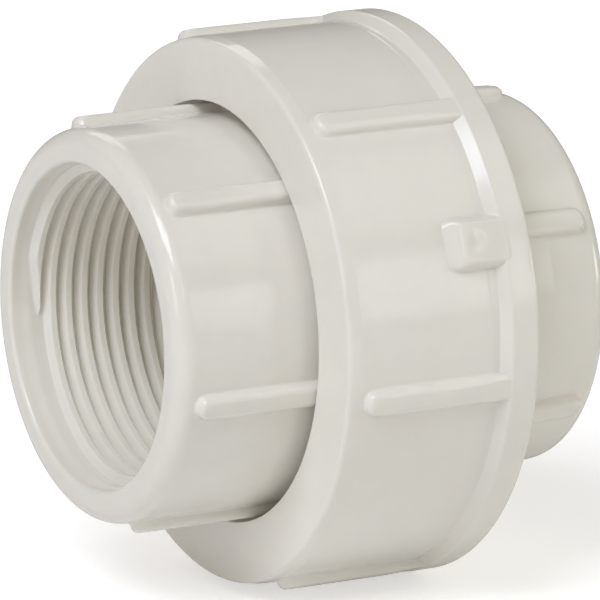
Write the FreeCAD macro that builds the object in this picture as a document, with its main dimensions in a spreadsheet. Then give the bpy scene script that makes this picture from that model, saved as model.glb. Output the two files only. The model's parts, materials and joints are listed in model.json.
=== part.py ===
import FreeCAD, Part
import os
import Sketcher

# Pipe union with female pipe threads, in millimetres.
#
# Frame of the whole part: +X runs along the fitting from the tailpiece's mouth to the union body's
# mouth, +Z is up, and the origin is on the axis, halfway along the overall length.
# Angles round the axis are degrees from +Y towards +Z.
#
# Frame of each piece: its own +X is the axis. The tailpiece and the union body have their origin at the
# centre of their socket mouth with +X going inwards, so one set of functions makes both sockets. The
# nut's origin is the centre of its front face. Each piece has one rib straight up in its own frame, and
# its Placement turns it to its real angle.

DRIVING_DIMENSIONS = [
    # alias, value, what it is
    ("overall_length", 63.9, "mouth face to mouth face, nut tight"),
    # Female pipe thread, 1 1/4 inch parallel, 11 threads per inch, 55 degree flanks
    ("pipe_pitch", 2.309, "axial distance between turns"),
    ("pipe_major_radius", 20.955, "to the floor of the groove"),
    ("pipe_minor_radius", 19.79, "to the crest, which is cut flat"),
    ("pipe_floor_width", 0.385, "flat at the floor of the groove"),
    ("pipe_flank_angle", 27.5, "one flank from the radial direction"),
    # Socket, the same at both ends
    ("mouth_radius", 21.2, "plain counterbore in front of the thread"),
    ("mouth_depth", 2.3, "length of that counterbore"),
    ("mouth_rounding", 0.5, "inner edge of the mouth"),
    ("socket_depth", 22.5, "mouth face to the stop"),
    ("pipe_thread_run", 21.0, "mouth face to the last turn's start"),
    ("passage_radius", 17.5, "bore behind the stop"),
    # Ribs
    ("rib_count", 6, "on each of the three moulded pieces"),
    ("rib_width", 3.3, "across a socket's rib"),
    ("rib_crown_radius", 1.05, "rounding along the top of a socket's rib"),
    ("rib_setback", 2.45, "mouth face to the rib's rounded end"),
    # Tailpiece
    ("tail_radius", 25.6, "outside of the socket"),
    ("tail_edge_rounding", 2.3, "outer edge of the mouth"),
    ("tail_rib_height", 1.45, ""),
    ("tail_rib_angle", 72.5, "where the top rib points"),
    ("tail_length", 28.5, "mouth face to sealing face"),
    ("flange_radius", 29.4, "collar that the nut pulls on"),
    ("flange_thickness", 5.0, ""),
    ("flange_edge", 0.6, "chamfer on the collar"),
    # Face seal
    ("seal_mean_radius", 25.4, "centre line of the ring"),
    ("seal_section", 3.53, "free section of the ring"),
    ("seal_squeezed_height", 2.68, "axial size when the nut is tight"),
    ("seal_groove_depth", 2.6, ""),
    ("seal_groove_width", 4.8, ""),
    # Union body
    ("body_radius", 24.85, "outside of the socket"),
    ("body_edge_rounding", 2.9, "outer edge of the mouth"),
    ("body_rib_height", 1.15, ""),
    ("body_rib_angle", 92, "where the top rib points"),
    ("face_gap", 0.1, "between the two sealing faces when tight"),
    ("spigot_length", 16.1, "threaded length behind the sealing face"),
    ("spigot_lead_in", 1.3, "chamfer at the start of the thread"),
    # Thread between the union body and the nut, one start, right hand
    ("union_pitch", 3.0, "axial distance between turns"),
    ("union_major_radius", 31.2, "crest of the spigot's thread"),
    ("union_depth", 1.3, "crest to root"),
    ("union_crest_width", 0.7, "flat on each ridge"),
    ("union_flank_angle", 30, "one flank from the radial direction"),
    ("union_clearance", 0.25, "radial, nut over spigot"),
    # Nut
    ("nut_front", 18.9, "tailpiece's mouth face to the nut's front face"),
    ("nut_length", 27.2, ""),
    ("nut_radius", 35.7, "outside in front of the rim"),
    ("nut_edge_rounding", 1.0, "outer edge of the front face"),
    ("nut_opening_radius", 27.45, "hole that the tailpiece passes through"),
    ("nut_shoulder", 4.45, "thickness behind the front face"),
    ("nut_mouth_depth", 1.4, "plain counterbore at the rear"),
    ("nut_mouth_gap", 0.15, "counterbore outside the thread's floor"),
    ("rim_radius", 36.9, "raised rim at the rear"),
    ("rim_foot", 21.5, "front face to where the rim starts to rise"),
    ("rim_top", 23.4, "front face to the rim's crest"),
    ("rim_edge_rounding", 0.8, "rear edge of the rim"),
    ("nut_rib_width", 3.4, ""),
    ("nut_rib_crown_radius", 0.75, ""),
    ("nut_rib_drop", 0.2, "top of a rib below the rim"),
    ("nut_rib_setback", 2.3, "front face to the rib's rounded end"),
    ("nut_rib_angle", 68.2, "where the top rib points"),
    # Moulding gate boss on the nut, midway between two ribs
    ("boss_width", 6.8, ""),
    ("boss_radius", 37.2, "flat top, from the axis"),
    ("boss_foot", 15.1, "front face to the foot of its ramp"),
    ("boss_top", 17.1, "front face to the top of its ramp"),
    ("boss_end", 24.0, "front face to where it ends on the rim"),
    ("dimple_radius", 1.2, "gate mark in the boss"),
    ("dimple_depth", 0.3, ""),
    ("dimple_place", 19.4, "front face to the gate mark"),
    # Overlaps that keep the cutting and joining shapes clear of their target's own faces
    ("overshoot", 0.2, "cutting profile past the surface it cuts"),
    ("burial", 1.5, "rib or rim sunk into the wall that it stands on"),
]


def make_sheet(doc):
    sheet = doc.addObject("Spreadsheet::Sheet", "dims")
    for row, (alias, number, meaning) in enumerate(DRIVING_DIMENSIONS, start=1):
        sheet.set(f"A{row}", alias)
        sheet.set(f"B{row}", str(number))
        sheet.setAlias(f"B{row}", alias)
        sheet.set(f"C{row}", meaning)
    doc.recompute()
    return sheet


def value(obj, expression):
    result = obj.evalExpression(expression)
    return float(getattr(result, "Value", result))


def origin_feature(body, role):
    return next(feature for feature in body.Origin.OriginFeatures if feature.Role == role)


def new_sketch(body, name, role):
    sketch = body.newObject("Sketcher::SketchObject", name)
    sketch.AttachmentSupport = [(origin_feature(body, role), "")]
    sketch.MapMode = "FlatFace"
    return sketch


def pin_point(sketch, line, x_expression, y_expression):
    """Hold the start of a line at a place given by two expressions."""
    for kind, expression in (("DistanceX", x_expression), ("DistanceY", y_expression)):
        number = value(sketch, expression)
        index = sketch.addConstraint(Sketcher.Constraint(kind, -1, 1, line, 1, number))
        sketch.setExpression(f"Constraints[{index}]", expression)


def outline(body, name, role, corners):
    """Closed polygon in one of the body's planes; each corner is a pair of expressions."""
    sketch = new_sketch(body, name, role)
    points = [FreeCAD.Vector(value(sketch, x), value(sketch, y), 0) for x, y in corners]
    count = len(points)
    for i, point in enumerate(points):
        sketch.addGeometry(Part.LineSegment(point, points[(i + 1) % count]), False)
    for i in range(count):
        sketch.addConstraint(Sketcher.Constraint("Coincident", i, 2, (i + 1) % count, 1))
    for i, (x, y) in enumerate(corners):
        pin_point(sketch, i, x, y)
    return sketch


def revolve(body, name, sketch):
    feature = body.newObject("PartDesign::Revolution", name)
    feature.Profile = sketch
    feature.ReferenceAxis = (sketch, ["H_Axis"])
    feature.Angle = 360
    body.Document.recompute()


def distance_from_axis(point):
    return (point.y ** 2 + point.z ** 2) ** 0.5


def ring_edges(shape, x, radius):
    """Names of the circular edges at one place along the axis."""
    near = 0.05
    names = []
    for number, edge in enumerate(shape.Edges, start=1):
        on_place = all(
            abs(vertex.Point.x - x) < near and abs(distance_from_axis(vertex.Point) - radius) < near
            for vertex in edge.Vertexes
        )
        round_axis = hasattr(edge.Curve, "Radius") and abs(edge.Curve.Radius - radius) < near
        if on_place and round_axis:
            names.append(f"Edge{number}")
    return names


def crown_edges(shape, top):
    """Names of the long and rounded edges of the ribs' flat tops, at a height given from the axis."""
    near = 0.01
    names = []
    step = 60
    directions = [FreeCAD.Rotation(FreeCAD.Vector(1, 0, 0), step * i) for i in range(360 // step)]
    normals = [rotation.multVec(FreeCAD.Vector(0, 0, 1)) for rotation in directions]
    for number, edge in enumerate(shape.Edges, start=1):
        middle = edge.valueAt((edge.FirstParameter + edge.LastParameter) / 2)
        points = [vertex.Point for vertex in edge.Vertexes] + [middle]
        if max(point.x for point in points) - min(point.x for point in points) < near:
            continue
        for normal in normals:
            if all(abs(point.dot(normal) - top) < near for point in points):
                names.append(f"Edge{number}")
    return names


def dress_edges(body, name, edges, size_expression, kind="PartDesign::Fillet"):
    """Fillet or chamfer the named edges of the body's last feature."""
    feature = body.newObject(kind, name)
    feature.Base = (body.Document.getObject(feature.BaseFeature.Name), edges)
    size = "Radius" if kind == "PartDesign::Fillet" else "Size"
    feature.setExpression(size, size_expression)
    body.Document.recompute()


def round_ring(body, name, x, radius, size, kind="PartDesign::Fillet"):
    edges = ring_edges(body.Shape.transformed(body.Placement.inverse().Matrix), value(body, x),
                       value(body, radius))
    dress_edges(body, name, edges, size, kind)


def add_ribs(body, start, end, width, foot, top, crown_radius):
    """A rib straight up, rounded at its start, repeated round the axis, with a rounded crown."""
    half = f"({width}) / 2"
    sketch = new_sketch(body, body.Name + "_rib_plan", "XY_Plane")
    sketch.setExpression("AttachmentOffset.Base.z", foot)
    x0, x1, y = value(sketch, f"{start} + {half}"), value(sketch, end), value(sketch, half)
    a, b, c, d = (FreeCAD.Vector(*p) for p in ((x0, -y, 0), (x1, -y, 0), (x1, y, 0), (x0, y, 0)))
    sketch.addGeometry(Part.LineSegment(a, b), False)
    sketch.addGeometry(Part.LineSegment(b, c), False)
    sketch.addGeometry(Part.LineSegment(c, d), False)
    sketch.addGeometry(Part.Arc(d, FreeCAD.Vector(x0 - y, 0, 0), a), False)
    arc_start, arc_end = 1, 2
    sketch.addConstraint(Sketcher.Constraint("Coincident", 0, 2, 1, 1))
    sketch.addConstraint(Sketcher.Constraint("Coincident", 1, 2, 2, 1))
    sketch.addConstraint(Sketcher.Constraint("Tangent", 2, 2, 3, arc_start))
    sketch.addConstraint(Sketcher.Constraint("Tangent", 3, arc_end, 0, 1))
    pin_point(sketch, 0, f"{start} + {half}", f"-{half}")
    pin_point(sketch, 1, end, f"-{half}")
    pin_point(sketch, 2, end, half)
    rib = body.newObject("PartDesign::Pad", body.Name + "_rib")
    rib.Profile = sketch
    rib.setExpression("Length", f"({top}) - ({foot})")
    body.Document.recompute()
    ring = body.newObject("PartDesign::PolarPattern", body.Name + "_ribs")
    ring.Originals = [rib]
    ring.Axis = (origin_feature(body, "X_Axis"), [""])
    ring.Angle = 360
    ring.setExpression("Occurrences", "dims.rib_count")
    body.Tip = ring
    body.Document.recompute()
    crowns = crown_edges(ring.Shape, value(body, top))
    dress_edges(body, body.Name + "_rib_crowns", crowns, crown_radius)


def cut_thread(body, name, start, run, pitch, floor, floor_width, opening, flank_angle):
    """Right-hand helical groove; its profile crosses straight up at start and widens to opening."""
    slope = f"tan({flank_angle} * 1 deg)"
    half_floor = f"({floor_width}) / 2"
    half_opening = f"({half_floor} + abs(({floor}) - ({opening})) * {slope})"
    sketch = outline(body, name + "_profile", "XZ_Plane", [
        (f"{start} - {half_floor}", floor),
        (f"{start} + {half_floor}", floor),
        (f"{start} + {half_opening}", opening),
        (f"{start} - {half_opening}", opening),
    ])
    before = body.Shape.Volume
    groove = body.newObject("PartDesign::SubtractiveHelix", name)
    groove.Profile = sketch
    groove.ReferenceAxis = (sketch, ["H_Axis"])
    groove.Mode = "pitch-height-angle"
    groove.setExpression("Pitch", pitch)
    groove.setExpression("Height", run)
    body.Document.recompute()
    if not groove.Shape.Volume < before:
        raise RuntimeError(name + " cut nothing")


def cut_pipe_thread(body):
    """The socket's thread: it starts in the open counterbore and ends just before the stop."""
    turn_back = "dims.mouth_depth - dims.pipe_pitch / 2"
    cut_thread(body, body.Name + "_pipe_thread", turn_back, f"dims.pipe_thread_run - ({turn_back})",
               "dims.pipe_pitch", "dims.pipe_major_radius", "dims.pipe_floor_width",
               "dims.pipe_minor_radius - dims.overshoot", "dims.pipe_flank_angle")


def make_tailpiece(doc):
    body = doc.addObject("PartDesign::Body", "tailpiece")
    flange_front = "dims.tail_length - dims.flange_thickness"
    turned = outline(body, "tailpiece_section", "XZ_Plane", [
        ("0", "dims.mouth_radius"),
        ("0", "dims.tail_radius"),
        (flange_front, "dims.tail_radius"),
        (flange_front, "dims.flange_radius"),
        ("dims.tail_length", "dims.flange_radius"),
        ("dims.tail_length", "dims.seal_mean_radius + dims.seal_groove_width / 2"),
        ("dims.tail_length - dims.seal_groove_depth",
         "dims.seal_mean_radius + dims.seal_groove_width / 2"),
        ("dims.tail_length - dims.seal_groove_depth",
         "dims.seal_mean_radius - dims.seal_groove_width / 2"),
        ("dims.tail_length", "dims.seal_mean_radius - dims.seal_groove_width / 2"),
        ("dims.tail_length", "dims.passage_radius"),
        ("dims.socket_depth", "dims.passage_radius"),
        ("dims.socket_depth", "dims.pipe_minor_radius"),
        ("dims.mouth_depth", "dims.pipe_minor_radius"),
        ("dims.mouth_depth", "dims.mouth_radius"),
    ])
    revolve(body, "tailpiece_turned", turned)
    round_ring(body, "tailpiece_edge", "0", "dims.tail_radius", "dims.tail_edge_rounding")
    round_ring(body, "tailpiece_mouth_edge", "0", "dims.mouth_radius", "dims.mouth_rounding")
    round_ring(body, "tailpiece_flange_edge", "dims.tail_length", "dims.flange_radius",
               "dims.flange_edge", "PartDesign::Chamfer")
    add_ribs(body, "dims.rib_setback", f"{flange_front} + dims.overshoot", "dims.rib_width",
             "dims.tail_radius - dims.burial", "dims.tail_radius + dims.tail_rib_height",
             "dims.rib_crown_radius")
    cut_pipe_thread(body)
    body.setExpression("Placement", "placement(vector(-dims.overall_length / 2; 0; 0);"
                                    " rotation(0; 0; dims.tail_rib_angle - 90))")
    return body


def make_union_body(doc):
    body = doc.addObject("PartDesign::Body", "union_body")
    length = "(dims.overall_length - dims.tail_length - dims.face_gap)"
    spigot_back = f"{length} - dims.spigot_length"
    spigot_lead = f"{length} - dims.spigot_lead_in"
    turned = outline(body, "union_body_section", "XZ_Plane", [
        ("0", "dims.mouth_radius"),
        ("0", "dims.body_radius"),
        (spigot_back, "dims.body_radius"),
        (spigot_back, "dims.union_major_radius"),
        (spigot_lead, "dims.union_major_radius"),
        (length, "dims.union_major_radius - dims.spigot_lead_in"),
        (length, "dims.passage_radius"),
        ("dims.socket_depth", "dims.passage_radius"),
        ("dims.socket_depth", "dims.pipe_minor_radius"),
        ("dims.mouth_depth", "dims.pipe_minor_radius"),
        ("dims.mouth_depth", "dims.mouth_radius"),
    ])
    revolve(body, "union_body_turned", turned)
    round_ring(body, "union_body_edge", "0", "dims.body_radius", "dims.body_edge_rounding")
    round_ring(body, "union_body_mouth_edge", "0", "dims.mouth_radius", "dims.mouth_rounding")
    add_ribs(body, "dims.rib_setback", f"{spigot_back} + dims.overshoot", "dims.rib_width",
             "dims.body_radius - dims.burial", "dims.body_radius + dims.body_rib_height",
             "dims.rib_crown_radius")
    cut_pipe_thread(body)
    # A ridge of the spigot's thread crosses straight up, in the part's frame, at the origin's X.
    root_width = ("dims.union_pitch - dims.union_crest_width"
                  " - 2 * dims.union_depth * tan(dims.union_flank_angle * 1 deg)")
    turned_by = "(90 - dims.body_rib_angle)"
    turns_back = 5.5
    start = (f"dims.overall_length / 2"
             f" + dims.union_pitch * ({turned_by} / 360 - {turns_back})")
    cut_thread(body, "union_body_spigot_thread", start,
               f"{length} + dims.union_pitch - ({start})", "dims.union_pitch",
               "dims.union_major_radius - dims.union_depth", root_width,
               "dims.union_major_radius + dims.overshoot", "dims.union_flank_angle")
    body.setExpression("Placement", "placement(vector(dims.overall_length / 2; 0; 0);"
                                    f" rotation(180; 0; {turned_by}))")
    return body


def make_union_nut(doc):
    body = doc.addObject("PartDesign::Body", "union_nut")
    crest = "dims.union_major_radius - dims.union_depth + dims.union_clearance"
    floor = "dims.union_major_radius + dims.union_clearance"
    mouth = f"{floor} + dims.nut_mouth_gap"
    mouth_start = "dims.nut_length - dims.nut_mouth_depth"
    turned = outline(body, "union_nut_section", "XZ_Plane", [
        ("0", "dims.nut_opening_radius"),
        ("0", "dims.nut_radius"),
        ("dims.nut_length", "dims.nut_radius"),
        ("dims.nut_length", mouth),
        (mouth_start, mouth),
        (f"{mouth_start} - (({mouth}) - ({crest}))", crest),
        ("dims.nut_shoulder", crest),
        ("dims.nut_shoulder", "dims.nut_opening_radius"),
    ])
    revolve(body, "union_nut_turned", turned)
    round_ring(body, "union_nut_edge", "0", "dims.nut_radius", "dims.nut_edge_rounding")
    rib_top = "dims.rim_radius - dims.nut_rib_drop"
    add_ribs(body, "dims.nut_rib_setback", "dims.rim_top + dims.overshoot", "dims.nut_rib_width",
             "dims.nut_radius - dims.burial", rib_top, "dims.nut_rib_crown_radius")
    rim = outline(body, "union_nut_rim_section", "XZ_Plane", [
        ("dims.rim_foot", "dims.nut_radius - dims.burial"),
        ("dims.rim_foot", "dims.nut_radius"),
        ("dims.rim_top", "dims.rim_radius"),
        ("dims.nut_length", "dims.rim_radius"),
        ("dims.nut_length", "dims.nut_radius - dims.burial"),
    ])
    revolve(body, "union_nut_rim", rim)
    round_ring(body, "union_nut_rim_edge", "dims.nut_length", "dims.rim_radius",
               "dims.rim_edge_rounding")
    # The boss points a quarter turn past the top rib, which is midway between two ribs.
    boss = outline(body, "union_nut_boss_side", "XY_Plane", [
        ("dims.boss_foot", "-(dims.nut_radius - dims.burial)"),
        ("dims.boss_foot", "-(dims.nut_radius - dims.overshoot)"),
        ("dims.boss_top", "-dims.boss_radius"),
        ("dims.boss_end", "-dims.boss_radius"),
        ("dims.boss_end", "-(dims.nut_radius - dims.burial)"),
    ])
    pad = body.newObject("PartDesign::Pad", "union_nut_boss")
    pad.Profile = boss
    pad.SideType = "Symmetric"
    pad.setExpression("Length", "dims.boss_width")
    doc.recompute()
    dimple = outline(body, "union_nut_dimple_section", "XY_Plane", [
        ("dims.dimple_place", "-(dims.boss_radius - dims.dimple_depth)"),
        ("dims.dimple_place", "-(dims.boss_radius + dims.overshoot)"),
        ("dims.dimple_place + dims.dimple_radius", "-(dims.boss_radius + dims.overshoot)"),
        ("dims.dimple_place + dims.dimple_radius", "-(dims.boss_radius - dims.dimple_depth)"),
    ])
    before = body.Shape.Volume
    mark = body.newObject("PartDesign::Groove", "union_nut_gate_mark")
    mark.Profile = dimple
    mark.ReferenceAxis = (dimple, ["Edge1"])
    mark.Angle = 360
    doc.recompute()
    if not mark.Shape.Volume < before:
        raise RuntimeError("the gate mark cut nothing")
    # A groove of the nut's thread crosses straight up, in the part's frame, at the origin's X, where
    # the spigot has a ridge.
    turned_by = "(dims.nut_rib_angle - 90)"
    turns_back = 2
    start = (f"dims.overall_length / 2 - dims.nut_front"
             f" + dims.union_pitch * ({turned_by} / 360 - {turns_back})")
    cut_thread(body, "union_nut_thread", start, f"dims.nut_length + dims.union_pitch - ({start})",
               "dims.union_pitch", floor, "dims.union_crest_width + dims.overshoot / 2",
               f"{crest} - dims.overshoot", "dims.union_flank_angle")
    body.setExpression("Placement",
                       "placement(vector(dims.nut_front - dims.overall_length / 2; 0; 0);"
                       f" rotation(0; 0; {turned_by}))")
    return body


def make_o_ring(doc):
    """The ring as it sits when squeezed: same section area, flattened between groove and face."""
    body = doc.addObject("PartDesign::Body", "o_ring")
    sketch = new_sketch(body, "o_ring_section", "XZ_Plane")
    half = "dims.seal_squeezed_height / 2"
    # A round section of the free size becomes a flat-sided one with the same area.
    flat = ("(pi * dims.seal_section ^ 2 / 4 - pi * dims.seal_squeezed_height ^ 2 / 4)"
            " / dims.seal_squeezed_height / 2")
    r, f, mean = value(sketch, half), value(sketch, flat), value(sketch, "dims.seal_mean_radius")
    inner, outer = mean - f, mean + f
    sketch.addGeometry(Part.LineSegment(FreeCAD.Vector(-r, inner, 0), FreeCAD.Vector(-r, outer, 0)),
                       False)
    sketch.addGeometry(Part.Arc(FreeCAD.Vector(-r, outer, 0), FreeCAD.Vector(0, outer + r, 0),
                                FreeCAD.Vector(r, outer, 0)), False)
    sketch.addGeometry(Part.LineSegment(FreeCAD.Vector(r, outer, 0), FreeCAD.Vector(r, inner, 0)),
                       False)
    sketch.addGeometry(Part.Arc(FreeCAD.Vector(r, inner, 0), FreeCAD.Vector(0, inner - r, 0),
                                FreeCAD.Vector(-r, inner, 0)), False)
    # The arcs are stored counter-clockwise, so each one starts where the line after it begins.
    for line, point, arc, arc_point in ((0, 2, 1, 2), (2, 1, 1, 1), (2, 2, 3, 2), (0, 1, 3, 1)):
        sketch.addConstraint(Sketcher.Constraint("Tangent", line, point, arc, arc_point))
    pin_point(sketch, 0, f"-{half}", f"dims.seal_mean_radius - {flat}")
    pin_point(sketch, 2, half, f"dims.seal_mean_radius + {flat}")
    revolve(body, "o_ring_moulded", sketch)
    middle = ("dims.tail_length - dims.overall_length / 2 + dims.face_gap / 2"
              " - dims.seal_groove_depth / 2")
    body.setExpression("Placement", f"placement(vector({middle}; 0; 0); rotation(0; 0; 0))")
    return body


def check_document(doc, pieces):
    for obj in doc.Objects:
        if "Invalid" in obj.State or "Error" in obj.State:
            raise RuntimeError(f"{obj.Name} did not recompute: {obj.State}")
    for piece in pieces:
        if piece.Shape.isNull() or not piece.Shape.isValid() or len(piece.Shape.Solids) != 1:
            raise RuntimeError(f"{piece.Label} is not one valid solid")


def main():
    doc = FreeCAD.newDocument("union_fitting")
    make_sheet(doc)
    pieces = [make_tailpiece(doc), make_o_ring(doc), make_union_nut(doc), make_union_body(doc)]
    doc.recompute()
    check_document(doc, pieces)
    os.makedirs("parts", exist_ok=True)
    for piece in pieces:
        piece.Shape.exportStep(os.path.join("parts", piece.Label + ".step"))
        box = piece.Shape.BoundBox
        print(f"{piece.Label}: x {box.XMin:.2f} to {box.XMax:.2f}, volume {piece.Shape.Volume:.0f}")


main()
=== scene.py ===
import json
import math

import bmesh
import bpy
import numpy as np
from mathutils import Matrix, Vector


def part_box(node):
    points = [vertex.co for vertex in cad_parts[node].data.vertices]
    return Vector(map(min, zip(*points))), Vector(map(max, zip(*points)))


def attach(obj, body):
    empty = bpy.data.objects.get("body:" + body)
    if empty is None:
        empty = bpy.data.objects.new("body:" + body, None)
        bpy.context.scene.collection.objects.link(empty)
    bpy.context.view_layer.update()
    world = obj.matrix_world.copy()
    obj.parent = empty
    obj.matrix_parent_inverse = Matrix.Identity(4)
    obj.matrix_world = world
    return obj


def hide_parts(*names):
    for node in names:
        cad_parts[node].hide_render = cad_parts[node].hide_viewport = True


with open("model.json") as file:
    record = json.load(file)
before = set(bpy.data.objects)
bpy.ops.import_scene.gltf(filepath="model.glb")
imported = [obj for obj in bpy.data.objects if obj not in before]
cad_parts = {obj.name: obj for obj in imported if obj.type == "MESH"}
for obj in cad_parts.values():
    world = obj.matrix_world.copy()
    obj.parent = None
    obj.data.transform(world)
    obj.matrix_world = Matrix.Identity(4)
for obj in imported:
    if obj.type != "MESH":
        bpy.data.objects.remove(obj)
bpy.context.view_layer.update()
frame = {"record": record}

# Lengths are millimetres and angles degrees until a mesh is written.
# Every piece is turned round the X axis. A place along it, "s", is counted from the piece's own mouth
# or front face inwards, and an angle round it runs from +Y towards +Z.
MM = 0.001


# ---------------------------------------------------------------- sizes, from the frame where it has them

def span(node):
    """Lowest x, highest x and outer radius of a CAD node."""
    low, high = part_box(node)
    return low.x / MM, high.x / MM, high.z / MM


TAIL_START, TAIL_END, FLANGE_RADIUS = span("tailpiece")
NUT_START, NUT_END, RIM_RADIUS = span("union_nut")
BODY_START, BODY_END, SPIGOT_RADIUS = span("union_body")
RING_START, RING_END, RING_RADIUS = span("o_ring")
TAIL_LENGTH = TAIL_END - TAIL_START
NUT_LENGTH = NUT_END - NUT_START
BODY_LENGTH = BODY_END - BODY_START

RECORD = frame["record"]

# Female pipe thread: its crest is cut flat, and PIPE_FLAT is that flat's width. Its ridge rises over
# THREAD_START, and its groove ends over THREAD_FADE
PIPE_CREST = RECORD["mounts"][0]["dims"]["r_mm"]
PIPE_PITCH = 25.4 / 11
PIPE_ROOT = 20.955
PIPE_FLAT = 0.85
PIPE_FLANK = 27.5
THREAD_START = (3.36, 3.5)
THREAD_FADE = (20.3, 21.4)

# Sockets, the same at both ends; MOUTH_FACE is the flat left between the two rounded edges, and
# MOUTH_TAPER is where the counterbore narrows to the thread's root
MOUTH_RADIUS = 21.2
MOUTH_ROUNDING = 0.5
MOUTH_FACE = (21.82, 21.98)
MOUTH_TAPER = (1.2, 3.0)
SOCKET_DEPTH = 22.5
PASSAGE_RADIUS = 17.5

# Outsides of the two halves
TAIL_RADIUS = 25.6
TAIL_EDGE = 2.3
BODY_RADIUS = 24.85
BODY_TAPER = 8.5
BODY_MOUTH_RADIUS = 24.35
BODY_EDGE = 2.4
FLANGE_THICKNESS = 5.0
SPIGOT_LENGTH = 16.1
SPIGOT_LEAD_IN = 1.3
SEAL_GROOVE = {"inner": 23.0, "outer": 27.8, "depth": 2.6}

# Thread between the spigot and the nut
UNION_PITCH = 3.0
UNION_DEPTH = 1.3
UNION_CREST = 0.7
UNION_FLANK = 30
UNION_CLEARANCE = 0.25

# The nut's side of it: radius and width of its crest, and where its groove starts behind the shoulder
NUT_CREST_RADIUS = SPIGOT_RADIUS - UNION_DEPTH + UNION_CLEARANCE
NUT_THREAD_FLAT = UNION_PITCH - UNION_CREST - 2 * UNION_DEPTH * math.tan(math.radians(UNION_FLANK)) - 0.15
NUT_THREAD_START = (2.0, 3.5)

# Nut
NUT_RADIUS = 35.7
NUT_FRONT_RADIUS = 35.45
NUT_FRONT_TAPER = 2.4
NUT_EDGE = 0.6
NUT_OPENING = 27.45
NUT_SHOULDER = 4.45
NUT_MOUTH_DEPTH = 1.4
NUT_MOUTH_RADIUS = SPIGOT_RADIUS + UNION_CLEARANCE + 0.15
RIM_FOOT = 21.75
RIM_TOP = 23.15
RIM_EDGE = 0.8

# Ribs, the same number on each moulding
RIB_COUNT = 6
TAIL_RIB = {"angle": 12.5, "width": 3.3, "height": 1.45, "crown": 0.9, "start": 2.45}
BODY_RIB = {"angle": 31.4, "width": 3.3, "height": 1.15, "crown": 0.85, "start": 2.45}
NUT_RIB = {"angle": 8.2, "width": 3.6, "height": 1.3, "crown": 1.0, "start": 2.1}
RIB_ROOT = 0.35
RIB_DRAFT = 12

# Gate boss on the nut: foot, top and end are places along the axis, side is its walls' slope, and the
# last three are how softly its edges are rounded
BOSS = {"angle": 158.0, "width": 6.9, "foot": 15.1, "top": 17.1, "end": 24.6, "radius": 37.15,
        "corner": 1.6, "side": 62, "edge": 0.8, "ramp_edge": 0.45, "root": 0.14}
DIMPLE = {"place": 19.2, "radius": 1.7, "depth": 0.22}


# ---------------------------------------------------------------- outlines

def rounded(corners, steps=6):
    """Points of an outline through (s, r, rounding) corners, each corner an arc of its own radius."""
    points = []
    for i, (s, r, rounding) in enumerate(corners):
        here = np.array([s, r], float)
        if rounding == 0 or i in (0, len(corners) - 1):
            points.append(here)
            continue
        before = np.array(corners[i - 1][:2], float) - here
        after = np.array(corners[i + 1][:2], float) - here
        before /= np.linalg.norm(before)
        after /= np.linalg.norm(after)
        half_turn = math.acos(np.clip(before @ after, -1, 1)) / 2
        run = rounding / math.tan(half_turn)
        middle = before + after
        centre = here + middle / np.linalg.norm(middle) * rounding / math.sin(half_turn)
        start, end = here + before * run - centre, here + after * run - centre
        sweep = math.pi - 2 * half_turn
        for k in range(steps + 1):
            t = k / steps
            a = math.sin((1 - t) * sweep) / math.sin(sweep)
            b = math.sin(t * sweep) / math.sin(sweep)
            points.append(centre + a * start + b * end)
    return [tuple(p) for p in points]


def with_stations(points, stations):
    """The same outline with extra points where it passes the given places along the axis."""
    out = [points[0]]
    for (s0, r0), (s1, r1) in zip(points, points[1:]):
        inside = [s for s in stations if min(s0, s1) + 1e-3 < s < max(s0, s1) - 1e-3]
        for s in sorted(inside, reverse=s1 < s0):
            out.append((s, r0 + (r1 - r0) * (s - s0) / (s1 - s0)))
        out.append((s1, r1))
    return out


def rib_section(rib):
    """Half of a rib's cross-section: distances from its centre line and heights above the wall."""
    draft = math.radians(RIB_DRAFT)
    height, crown, lean, slant = rib["height"], rib["crown"], math.tan(draft), math.cos(draft)
    half = rib["width"] / 2
    crown_at = half - (height - crown) * lean - crown / slant
    root_at = half - RIB_ROOT * lean + RIB_ROOT / slant
    distances, heights = [0.0], [height]
    for turn in np.linspace(math.pi / 2, draft, 8):
        distances.append(crown_at + crown * math.cos(turn))
        heights.append(height - crown + crown * math.sin(turn))
    for turn in np.linspace(draft, math.pi / 2, 5):
        distances.append(root_at - RIB_ROOT * math.cos(turn))
        heights.append(RIB_ROOT - RIB_ROOT * math.sin(turn))
    return np.array(distances), np.array(heights)


def rib_angles(rib):
    return rib["angle"] + np.arange(RIB_COUNT) * 360 / RIB_COUNT


def off_centre(angles, centre, radius):
    """Arc length from a centre angle, signed."""
    turn = (np.degrees(angles) - centre + 180) % 360 - 180
    return radius * np.radians(turn)


def rib_heights(rib, wall, s, angles):
    """Height of the ribs above the wall at one place along the axis."""
    distances, heights = rib_section(rib)
    round_end = max(0.0, rib["start"] + rib["width"] / 2 - s)
    result = np.zeros(len(angles))
    for centre in rib_angles(rib):
        across = off_centre(angles, centre, wall)
        result = np.maximum(result, np.interp(np.hypot(across, round_end), distances, heights, right=0))
    return result


def column_angles(rib, wall, extra=(), coarse=2.4):
    """Angles of the mesh's columns: close together where a rib's section bends, wide between ribs."""
    distances, _ = rib_section(rib)
    fine = np.concatenate([-distances[:0:-1], distances])
    marks = [(centre + np.degrees(fine / wall)) % 360 for centre in rib_angles(rib)]
    marks += [np.asarray(extra, float) % 360]
    marks = np.unique(np.round(np.concatenate(marks), 3))
    angles = []
    for here, after in zip(marks, np.append(marks[1:], marks[0] + 360)):
        parts = max(1, math.ceil((after - here) / coarse))
        angles.extend(here + (after - here) * np.arange(parts) / parts)
    return np.radians(np.sort(np.array(angles) % 360))


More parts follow.
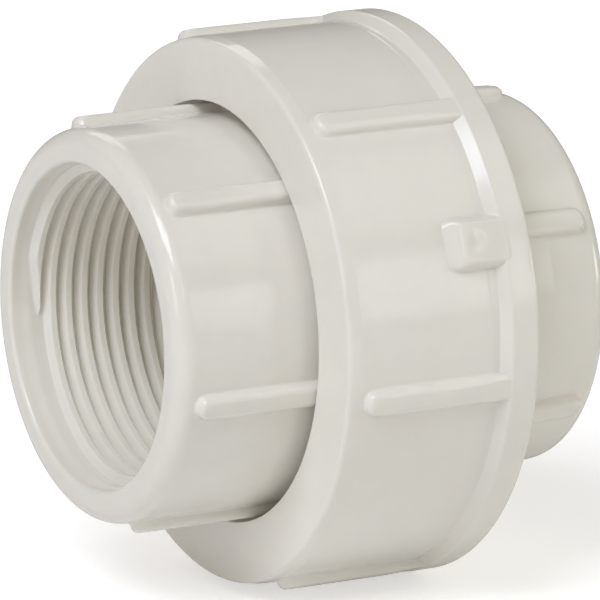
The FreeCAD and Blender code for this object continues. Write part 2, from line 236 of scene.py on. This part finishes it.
def rib_stations(rib, end, step=1.2):
    """Places along the axis for a rib's rounded end, then at even steps."""
    distances, _ = rib_section(rib)
    middle = rib["start"] + rib["width"] / 2
    return list(middle - distances) + list(np.arange(middle + step, end, step))


def smooth_max(a, b, blend):
    """The larger of two heights, with the corner between them rounded over the blend."""
    overlap = np.clip(0.5 + 0.5 * (a - b) / blend, 0, 1)
    return b + (a - b) * overlap + blend * overlap * (1 - overlap)


def smooth_min(a, b, blend):
    """The smaller of two heights, rounded in the same way."""
    return -smooth_max(-a, -b, blend)


# ---------------------------------------------------------------- threads

def flat_groove(phase, pitch, depth, flank, crest, crest_edge=0.12, root_edge=0.12):
    """Depth of a flat-topped thread below its crest; phase is the distance from a crest's centre."""
    run = np.abs(from_nearest(phase, pitch))
    wall = (run - crest / 2) / math.tan(math.radians(flank))
    return smooth_max(smooth_min(wall, depth, root_edge), 0, crest_edge)


def from_nearest(run, pitch):
    """Signed distance from the nearest whole number of pitches."""
    return (run + pitch / 2) % pitch - pitch / 2


def step_up(value, low, high):
    """0 below low, 1 above high and smooth between them."""
    t = np.clip((value - low) / (high - low), 0, 1)
    return t * t * (3 - 2 * t)


# ---------------------------------------------------------------- surfaces

class Shell:
    """A closed surface round the X axis, made ring by ring, each ring with the same column angles.

    origin is the x of the piece's own s = 0, and sense is +1 where s grows along +X, -1 where it
    grows along -X. A right-hand helix climbs by sense * pitch per turn in s.
    """

    def __init__(self, angles, origin, sense):
        self.angles = angles
        self.origin = origin
        self.sense = sense
        self.points = []
        self.faces = []

    def add(self, s, radius):
        count = len(self.angles)
        s = np.broadcast_to(s, count)
        radius = np.broadcast_to(radius, count)
        x = self.origin + self.sense * s
        self.points.append(np.stack([x, radius * np.cos(self.angles), radius * np.sin(self.angles)], 1))
        return len(self.points) - 1

    def join(self, ring_a, ring_b, seam=True):
        """Quads between two rings, with or without the one across the seam."""
        count = len(self.angles)
        here = np.arange(count if seam else count - 1)
        after = (here + 1) % count
        a, b = ring_a * count, ring_b * count
        self.faces.extend(np.stack([a + here, a + after, b + after, b + here], 1).tolist())

    def outline(self, points, relief=None):
        """One ring for each outline point, joined to whatever came before."""
        for s, r in points:
            ring = self.add(s, r if relief is None else relief(s, r, self.angles))
            if ring:
                self.join(ring - 1, ring)

    def helix(self, start, end, pitch, radius, rows_per_turn=16, descending=False):
        """Rings that climb with a right-hand helix between two places; radius is a function of s, angles."""
        climb = self.sense * pitch * self.angles / (2 * math.pi)
        lowest = start - (pitch if self.sense > 0 else 0)
        rows = math.ceil((end - start + pitch) / pitch * rows_per_turn)
        order = range(rows, -1, -1) if descending else range(rows + 1)
        seam = rows_per_turn * self.sense * (-1 if descending else 1)
        first = len(self.points)
        for row in order:
            s = np.clip(lowest + row * pitch / rows_per_turn + climb, start, end)
            self.add(s, radius(s, self.angles))
        last = len(self.points) - 1
        if first:
            self.join(first - 1, first)
        for ring in range(first, last):
            self.join(ring, ring + 1, seam=False)
        self.stitch(first, last, seam)

    def stitch(self, first, last, step):
        """Faces across a helix's seam, where each ring meets the ring step further on."""
        count = len(self.angles)
        for ring in range(first - abs(step), last + abs(step)):
            here, after = np.clip([ring, ring + 1], first, last) * count + count - 1
            across, across_after = np.clip([ring + step, ring + 1 + step], first, last) * count
            corners = list(dict.fromkeys([here, across, across_after, after]))
            if len(corners) > 2:
                self.faces.append(corners)

    def close(self):
        self.join(len(self.points) - 1, 0)

    def build(self, name):
        points = np.concatenate(self.points) * MM
        mesh = bpy.data.meshes.new(name)
        mesh.from_pydata(points.tolist(), [], self.faces)
        piece = bpy.data.objects.new(name, mesh)
        bpy.context.scene.collection.objects.link(piece)
        tidy_mesh(piece)
        return piece


MERGE_DISTANCE = 0.002
EMPTY_EDGE = 0.0001


def tidy_mesh(piece, sharp_angle=38):
    """Merges the rings' shared points, turns all faces outwards and shades them smoothly."""
    work = bmesh.new()
    work.from_mesh(piece.data)
    bmesh.ops.remove_doubles(work, verts=work.verts, dist=MERGE_DISTANCE * MM)
    bmesh.ops.dissolve_degenerate(work, edges=work.edges, dist=EMPTY_EDGE * MM)
    bmesh.ops.recalc_face_normals(work, faces=work.faces)
    work.to_mesh(piece.data)
    work.free()
    piece.data.shade_smooth()
    piece.data.set_sharp_from_angle(angle=math.radians(sharp_angle))
    weighted = piece.modifiers.new("weighted_normals", "WEIGHTED_NORMAL")
    weighted.keep_sharp = True
    weighted.weight = 80


# ---------------------------------------------------------------- pieces

def pipe_radius(shell, phase):
    """Radius of a socket's female thread: its ridge starts at a point, and its groove fades out."""
    full = PIPE_ROOT - PIPE_CREST
    slope = math.tan(math.radians(PIPE_FLANK))
    front = PIPE_FLAT / 2 + full * slope

    def radius(s, angles):
        climb = shell.sense * PIPE_PITCH * angles / (2 * math.pi)
        run = s - climb - phase
        beyond = from_nearest(run, PIPE_PITCH)
        ridge_at = s - beyond
        grown = np.clip((ridge_at - THREAD_START[0]) / (THREAD_START[1] - THREAD_START[0]), 0, 1)
        ridge = full - flat_groove(run, PIPE_PITCH, full, PIPE_FLANK, PIPE_FLAT, 0.05, 0.3)
        # Where the ridge starts, its near flank lies further in, which leaves a point.
        pointed = (beyond + front - (1 - grown) * (front + PIPE_FLAT / 2)) / slope
        ridge = np.where(grown > 0, smooth_min(ridge, np.maximum(pointed, 0), 0.05), 0)
        groove_at = s - from_nearest(run + PIPE_PITCH / 2, PIPE_PITCH)
        wall = MOUTH_RADIUS - (MOUTH_RADIUS - PIPE_ROOT) * step_up(s, *MOUTH_TAPER)
        return wall - ridge - (full - ridge) * step_up(groove_at, *THREAD_FADE)
    return radius


def add_socket(shell, phase):
    """Mouth, counterbore, thread, stop and the start of the passage, going inwards."""
    shell.outline(rounded([
        (0, MOUTH_FACE[0], 0),
        (0, MOUTH_RADIUS, MOUTH_ROUNDING),
        (MOUTH_TAPER[0] - 0.2, MOUTH_RADIUS, 0),
    ]))
    shell.helix(MOUTH_TAPER[0], SOCKET_DEPTH - 0.3, PIPE_PITCH, pipe_radius(shell, phase),
                rows_per_turn=18)
    shell.outline(rounded([
        (SOCKET_DEPTH, PIPE_CREST, 0),
        (SOCKET_DEPTH, PASSAGE_RADIUS, 0.4),
        (SOCKET_DEPTH + 2, PASSAGE_RADIUS, 0),
    ], steps=3))


def outside_relief(rib, wall):
    """Relief of a socket's outside: the ribs stand on the wall and run into its rounded edge."""
    def relief(s, r, angles):
        return np.maximum(r, min(r, wall) + rib_heights(rib, wall, s, angles))
    return relief


def make_tailpiece():
    """Front half: socket, passage, sealing face with its groove, flange and ribbed outside."""
    angles = column_angles(TAIL_RIB, TAIL_RADIUS)
    shell = Shell(angles, TAIL_START, 1)
    add_socket(shell, phase=1.1)
    flange_front = TAIL_LENGTH - FLANGE_THICKNESS
    groove_floor = TAIL_LENGTH - SEAL_GROOVE["depth"]
    shell.outline(rounded([
        (TAIL_LENGTH - 1, PASSAGE_RADIUS, 0),
        (TAIL_LENGTH, PASSAGE_RADIUS, 0.5),
        (TAIL_LENGTH, SEAL_GROOVE["inner"], 0.15),
        (groove_floor, SEAL_GROOVE["inner"], 0.3),
        (groove_floor, SEAL_GROOVE["outer"], 0.3),
        (TAIL_LENGTH, SEAL_GROOVE["outer"], 0.15),
        (TAIL_LENGTH, FLANGE_RADIUS, 0.5),
        (flange_front, FLANGE_RADIUS, 0.4),
        (flange_front, TAIL_RADIUS + 1.6, 0),
    ], steps=3))
    outside = rounded([
        (flange_front, TAIL_RADIUS + 1.5, 0),
        (flange_front, TAIL_RADIUS, 0.4),
        (0, TAIL_RADIUS, TAIL_EDGE),
        (0, MOUTH_FACE[1], 0),
    ], steps=8)
    stations = rib_stations(TAIL_RIB, flange_front - 0.5)
    shell.outline(with_stations(outside, stations), outside_relief(TAIL_RIB, TAIL_RADIUS))
    shell.close()
    return shell.build("tailpiece_moulding")


def union_phase(shell, s, angles):
    """Distance along X from the spigot's ridge, which crosses straight up at x = 0."""
    x = shell.origin + shell.sense * s
    return x - UNION_PITCH * (angles - math.pi / 2) / (2 * math.pi)


def spigot_radius(shell):
    """Radius of the male thread, with a chamfer where it starts."""
    def radius(s, angles):
        phase = union_phase(shell, s, angles)
        thread = SPIGOT_RADIUS - flat_groove(phase, UNION_PITCH, UNION_DEPTH, UNION_FLANK, UNION_CREST)
        lead_in = SPIGOT_RADIUS - SPIGOT_LEAD_IN + (BODY_LENGTH - s)
        return smooth_min(thread, lead_in, 0.15)
    return radius


def make_union_body():
    """Rear half: socket, passage, threaded spigot and ribbed outside."""
    angles = column_angles(BODY_RIB, BODY_RADIUS)
    shell = Shell(angles, BODY_END, -1)
    add_socket(shell, phase=0.3)
    spigot_back = BODY_LENGTH - SPIGOT_LENGTH
    shell.outline(rounded([
        (BODY_LENGTH - 1, PASSAGE_RADIUS, 0),
        (BODY_LENGTH, PASSAGE_RADIUS, 0.5),
        (BODY_LENGTH, SPIGOT_RADIUS - SPIGOT_LEAD_IN - 1, 0),
    ], steps=4))
    shell.helix(spigot_back, BODY_LENGTH, UNION_PITCH, spigot_radius(shell), descending=True)
    outside = rounded([
        (spigot_back, SPIGOT_RADIUS - UNION_DEPTH - 0.6, 0),
        (spigot_back, BODY_RADIUS, 1.0),
        (BODY_TAPER, BODY_RADIUS, 8),
        (0, BODY_MOUTH_RADIUS, BODY_EDGE),
        (0, MOUTH_FACE[1], 0),
    ], steps=8)
    stations = rib_stations(BODY_RIB, spigot_back - 1)
    shell.outline(with_stations(outside, stations), outside_relief(BODY_RIB, BODY_RADIUS))
    shell.close()
    return shell.build("union_body_moulding")


def boss_radius(s, angles):
    """Radius of the gate boss's surface: a rounded block with a ramp in front and a dimple on top."""
    across = off_centre(angles, BOSS["angle"], NUT_RADIUS)
    corner = BOSS["corner"]
    middle = (BOSS["foot"] + BOSS["end"]) / 2
    beyond_s = abs(s - middle) - ((BOSS["end"] - BOSS["foot"]) / 2 - corner)
    beyond_a = np.abs(across) - (BOSS["width"] / 2 - corner)
    outside = np.hypot(np.maximum(beyond_s, 0), np.maximum(beyond_a, 0))
    inwards = corner - outside - np.minimum(np.maximum(beyond_s, beyond_a), 0)
    side = inwards * math.tan(math.radians(BOSS["side"]))
    top = BOSS["radius"] - (BOSS["radius"] - RIM_RADIUS) * step_up(s, DIMPLE["place"], RIM_TOP + 0.5)
    flat = top / np.cos(across / NUT_RADIUS) - NUT_RADIUS
    ramp = (s - BOSS["foot"]) * (BOSS["radius"] - NUT_RADIUS) / (BOSS["top"] - BOSS["foot"])
    height = smooth_min(smooth_min(side, flat, BOSS["edge"]), ramp, BOSS["ramp_edge"])
    near = np.hypot(s - DIMPLE["place"], across) / DIMPLE["radius"]
    return NUT_RADIUS + height - DIMPLE["depth"] * (1 - step_up(near, 0, 1))


def nut_relief(s, r, angles):
    """Radius with the ribs and the boss; both end at the rim's crest."""
    if s < 1 or s > RIM_TOP + 2:
        return r
    proud = NUT_RADIUS + NUT_RIB["height"] - RIM_RADIUS + 0.1
    top = NUT_RIB["height"] - proud * step_up(s, RIM_FOOT - 5, RIM_TOP)
    rib = NUT_RADIUS + np.minimum(rib_heights(NUT_RIB, NUT_RADIUS, s, angles), top)
    ribbed = np.maximum(r, rib) if s < RIM_FOOT - 1 else smooth_max(r, rib, 0.12)
    return smooth_max(ribbed, boss_radius(s, angles), BOSS["root"])


def nut_thread_radius(shell):
    """Radius of the female thread: its groove takes the spigot's ridge, with clearance all round."""
    starts, full = (NUT_SHOULDER + run for run in NUT_THREAD_START)

    def radius(s, angles):
        phase = union_phase(shell, s, angles)
        depth = flat_groove(phase + UNION_PITCH / 2, UNION_PITCH, UNION_DEPTH, UNION_FLANK, NUT_THREAD_FLAT)
        groove_at = s - from_nearest(phase, UNION_PITCH)
        thread = NUT_CREST_RADIUS + depth * step_up(groove_at, starts, full)
        lead_in = NUT_MOUTH_RADIUS + (s - (NUT_LENGTH - NUT_MOUTH_DEPTH))
        return np.minimum(smooth_max(thread, lead_in, 0.15), NUT_MOUTH_RADIUS)
    return radius


def make_nut():
    """Nut: opening, shoulder, thread, mouth, and the outside with its rim, ribs and gate boss."""
    boss_half = BOSS["width"] / 2 + 1.15
    boss_columns = np.arange(-boss_half, boss_half + 0.1, 0.2)
    angles = column_angles(NUT_RIB, NUT_RADIUS, BOSS["angle"] + np.degrees(boss_columns / NUT_RADIUS))
    shell = Shell(angles, NUT_START, 1)
    mouth_start = NUT_LENGTH - NUT_MOUTH_DEPTH
    shell.outline(rounded([
        (0, NUT_OPENING + 1, 0),
        (0, NUT_OPENING, 0.2),
        (NUT_SHOULDER, NUT_OPENING, 0.3),
        (NUT_SHOULDER, NUT_CREST_RADIUS, 0.5),
        (NUT_SHOULDER + 1, NUT_CREST_RADIUS, 0),
    ], steps=4))
    shell.helix(NUT_SHOULDER + 1.2, mouth_start + 0.1, UNION_PITCH, nut_thread_radius(shell))
    shell.outline(rounded([
        (mouth_start + 0.3, NUT_MOUTH_RADIUS, 0),
        (NUT_LENGTH, NUT_MOUTH_RADIUS, 0.3),
        (NUT_LENGTH, NUT_MOUTH_RADIUS + 1.5, 0),
    ], steps=4))
    outside = rounded([
        (NUT_LENGTH, NUT_RADIUS - 0.5, 0),
        (NUT_LENGTH, RIM_RADIUS, RIM_EDGE),
        (RIM_TOP, RIM_RADIUS, 0.6),
        (RIM_FOOT, NUT_RADIUS, 0.4),
        (NUT_FRONT_TAPER, NUT_RADIUS, 6),
        (0, NUT_FRONT_RADIUS, NUT_EDGE),
        (0, NUT_OPENING + 1.5, 0),
    ], steps=8)
    boss_stations = list(np.arange(BOSS["foot"] - 0.6, BOSS["end"] + 0.8, 0.15))
    stations = rib_stations(NUT_RIB, BOSS["foot"] - 1) + boss_stations
    shell.outline(with_stations(outside, stations), nut_relief)
    shell.close()
    return shell.build("union_nut_moulding")


def make_o_ring():
    """The squeezed ring: flat where it is pressed, and round at its inner and outer edges."""
    shell = Shell(np.radians(np.arange(0, 360, 2.5)), RING_START, 1)
    thick = RING_END - RING_START
    middle = (SEAL_GROOVE["inner"] + SEAL_GROOVE["outer"]) / 2
    inner = 2 * middle - RING_RADIUS
    corner = thick / 2 - 0.01
    shell.outline(rounded([
        (0, middle, 0),
        (0, RING_RADIUS, corner),
        (thick, RING_RADIUS, corner),
        (thick, inner, corner),
        (0, inner, corner),
        (0, middle - 0.01, 0),
    ], steps=8))
    shell.close()
    return shell.build("o_ring_moulding")


# ---------------------------------------------------------------- materials

PLASTIC = (0.87, 0.837, 0.765)


def new_material(name):
    material = bpy.data.materials.new(name)
    material.use_nodes = True
    tree = material.node_tree
    return material, tree, tree.nodes["Principled BSDF"]


def add_node(tree, kind, **settings):
    node = tree.nodes.new(kind)
    for key, value in settings.items():
        setattr(node, key, value)
    return node


def noise(tree, coordinates, size_mm, detail=3.0, roughness=0.5):
    """Noise whose lumps are about size_mm across."""
    node = add_node(tree, "ShaderNodeTexNoise")
    node.inputs["Scale"].default_value = 1 / (size_mm * MM)
    node.inputs["Detail"].default_value = detail
    node.inputs["Roughness"].default_value = roughness
    tree.links.new(coordinates, node.inputs["Vector"])
    return node.outputs["Fac"]


def map_range(tree, value, low, high, to_low, to_high):
    node = add_node(tree, "ShaderNodeMapRange")
    tree.links.new(value, node.inputs["Value"])
    for key, number in (("From Min", low), ("From Max", high), ("To Min", to_low), ("To Max", to_high)):
        node.inputs[key].default_value = number
    return node.outputs["Result"]


def mix_colour(tree, factor, first, second):
    node = add_node(tree, "ShaderNodeMix", data_type="RGBA")
    tree.links.new(factor, node.inputs["Factor"])
    for socket, colour in (("A", first), ("B", second)):
        target = [i for i in node.inputs if i.name == socket and i.type == "RGBA"][0]
        if isinstance(colour, tuple):
            target.default_value = (*colour, 1)
        else:
            tree.links.new(colour, target)
    return [o for o in node.outputs if o.type == "RGBA"][0]


def bump(tree, height, distance_mm, strength, normal=None):
    node = add_node(tree, "ShaderNodeBump")
    node.inputs["Strength"].default_value = strength
    node.inputs["Distance"].default_value = distance_mm * MM
    tree.links.new(height, node.inputs["Height"])
    if normal is not None:
        tree.links.new(normal, node.inputs["Normal"])
    return node.outputs["Normal"]


def moulded_plastic(name, colour, roughness):
    """Off-white moulded plastic: faint flow clouding, slight translucency and a soft orange-peel skin."""
    material, tree, shader = new_material(name)
    coordinates = add_node(tree, "ShaderNodeTexCoord").outputs["Object"]
    cloud = noise(tree, coordinates, 14)
    mottle = noise(tree, coordinates, 3, detail=4)
    darker = tuple(c * 0.98 for c in colour)
    warmer = (colour[0], colour[1] * 0.99, colour[2] * 0.975)
    base = mix_colour(tree, map_range(tree, cloud, 0.35, 0.65, 0, 1), colour, warmer)
    base = mix_colour(tree, map_range(tree, mottle, 0.4, 0.7, 0, 1), base, darker)
    tree.links.new(base, shader.inputs["Base Color"])
    rough = map_range(tree, mottle, 0.3, 0.7, roughness - 0.02, roughness + 0.04)
    tree.links.new(rough, shader.inputs["Roughness"])
    shader.inputs["IOR"].default_value = 1.5
    shader.inputs["Subsurface Weight"].default_value = 0.2
    shader.inputs["Subsurface Radius"].default_value = (1.0, 0.85, 0.6)
    shader.inputs["Subsurface Scale"].default_value = 1.2 * MM
    skin = bump(tree, noise(tree, coordinates, 9, detail=1), 0.08, 0.3)
    skin = bump(tree, noise(tree, coordinates, 0.6, detail=2), 0.004, 0.4, skin)
    tree.links.new(skin, shader.inputs["Normal"])
    return material


def seal_rubber(name):
    """Black rubber with a little dust in its grain."""
    material, tree, shader = new_material(name)
    coordinates = add_node(tree, "ShaderNodeTexCoord").outputs["Object"]
    dust = noise(tree, coordinates, 3, detail=6)
    base = mix_colour(tree, map_range(tree, dust, 0.5, 0.8, 0, 0.7), (0.012, 0.012, 0.013),
                      (0.05, 0.05, 0.048))
    tree.links.new(base, shader.inputs["Base Color"])
    tree.links.new(map_range(tree, dust, 0.3, 0.7, 0.42, 0.6), shader.inputs["Roughness"])
    grain = bump(tree, noise(tree, coordinates, 0.3), 0.01, 0.6)
    tree.links.new(grain, shader.inputs["Normal"])
    return material


def floor_material():
    """Pale floor that takes a soft shadow near the object and is plain white further away."""
    material, tree, shader = new_material("studio_floor")
    shader.inputs["Base Color"].default_value = (0.9, 0.9, 0.9, 1)
    shader.inputs["Roughness"].default_value = 0.9
    shader.inputs["Specular IOR Level"].default_value = 0.1
    shader.inputs["Emission Color"].default_value = (1, 1, 1, 1)
    coordinates = add_node(tree, "ShaderNodeTexCoord").outputs["Object"]
    away = add_node(tree, "ShaderNodeVectorMath", operation="LENGTH")
    tree.links.new(coordinates, away.inputs[0])
    glow = add_node(tree, "ShaderNodeMath", operation="MULTIPLY_ADD")
    tree.links.new(add_node(tree, "ShaderNodeLightPath").outputs["Is Camera Ray"], glow.inputs[0])
    tree.links.new(map_range(tree, away.outputs["Value"], 0.2, 0.8, 0.4, 0.9), glow.inputs[1])
    glow.inputs[2].default_value = 0.085
    tree.links.new(glow.outputs["Value"], shader.inputs["Emission Strength"])
    return material


# ---------------------------------------------------------------- studio

def toward(azimuth, elevation):
    """Unit vector for a view or light; azimuth 0 is on the -Y side and grows towards +X."""
    a, e = math.radians(azimuth), math.radians(elevation)
    return Vector((math.sin(a) * math.cos(e), -math.cos(a) * math.cos(e), math.sin(e)))


def aim(thing, place, target):
    thing.location = place
    thing.rotation_euler = (place - target).to_track_quat("Z", "Y").to_euler()


def add_softbox(name, azimuth, elevation, distance, width, height, power, colour=(1, 1, 1)):
    light = bpy.data.lights.new(name, "AREA")
    light.shape = "RECTANGLE"
    light.size = width
    light.size_y = height
    light.energy = power
    light.color = colour
    lamp = bpy.data.objects.new(name, light)
    bpy.context.scene.collection.objects.link(lamp)
    lamp.visible_camera = False
    aim(lamp, toward(azimuth, elevation) * distance, Vector((0, 0, 0)))


def add_floor(height):
    half = 6.0
    mesh = bpy.data.meshes.new("floor")
    corners = [(-half, -half, height), (half, -half, height), (half, half, height), (-half, half, height)]
    mesh.from_pydata(corners, [], [(0, 1, 2, 3)])
    floor = bpy.data.objects.new("floor", mesh)
    bpy.context.scene.collection.objects.link(floor)
    mesh.materials.append(floor_material())


def add_camera():
    azimuth, elevation, distance = -29.173, 13.026, 1.0092
    camera = bpy.data.cameras.new("camera")
    camera.sensor_width = 36
    camera.lens = 465.5
    camera.clip_end = 50
    holder = bpy.data.objects.new("camera", camera)
    bpy.context.scene.collection.objects.link(holder)
    target = Vector((-0.26, 0.17, 0.03)) * MM
    aim(holder, target + toward(azimuth, elevation) * distance, target)
    bpy.context.scene.camera = holder


def add_world():
    """Even warm light from all round; looked at directly it is plain white."""
    world = bpy.data.worlds.new("studio")
    world.use_nodes = True
    tree = world.node_tree
    light = tree.nodes["Background"]
    light.inputs["Color"].default_value = (1.0, 0.9, 0.81, 1)
    light.inputs["Strength"].default_value = 0.22
    white = add_node(tree, "ShaderNodeBackground")
    white.inputs["Color"].default_value = (1, 1, 1, 1)
    either = add_node(tree, "ShaderNodeMixShader")
    tree.links.new(add_node(tree, "ShaderNodeLightPath").outputs["Is Camera Ray"], either.inputs["Fac"])
    tree.links.new(light.outputs["Background"], either.inputs[1])
    tree.links.new(white.outputs["Background"], either.inputs[2])
    tree.links.new(either.outputs["Shader"], tree.nodes["World Output"].inputs["Surface"])
    bpy.context.scene.world = world


def add_studio():
    bpy.context.scene.view_settings.view_transform = "Standard"
    add_world()
    add_softbox("key_softbox", -58, 50, 1.6, 0.9, 0.7, 13.8, (0.84, 0.9, 1.0))
    add_softbox("mouth_softbox", -70, 14, 1.8, 0.5, 0.6, 2.7, (0.97, 0.98, 1.0))
    add_softbox("right_softbox", 30, 13, 1.8, 0.25, 0.7, 1.1, (0.95, 0.98, 1.0))
    add_softbox("right_top_softbox", 50, 45, 1.8, 0.8, 0.8, 2.0, (0.9, 1.0, 0.84))
    add_softbox("end_softbox", 66, 6, 1.8, 0.4, 0.4, 4.0, (0.98, 1.0, 0.88))
    add_softbox("back_softbox", 165, 40, 1.8, 0.9, 0.7, 3.0)
    add_softbox("glint_softbox", -19, 39, 1.8, 0.12, 0.12, 0.45)
    add_softbox("edge_softbox", -14, 27, 1.8, 0.12, 0.2, 0.6)


# ---------------------------------------------------------------- scene

def place(piece, node, material):
    """Gives a piece its material and puts it in its CAD node's stead, on the body of the same name."""
    piece.data.materials.append(material)
    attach(piece, node)
    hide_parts(node)


place(make_tailpiece(), "tailpiece", moulded_plastic("tailpiece_plastic", PLASTIC, 0.14))
place(make_nut(), "union_nut", moulded_plastic("nut_plastic", PLASTIC, 0.14))
place(make_union_body(), "union_body", moulded_plastic("body_plastic", PLASTIC, 0.16))
place(make_o_ring(), "o_ring", seal_rubber("seal_rubber"))

add_floor(-RIM_RADIUS * MM)
add_camera()
add_studio()
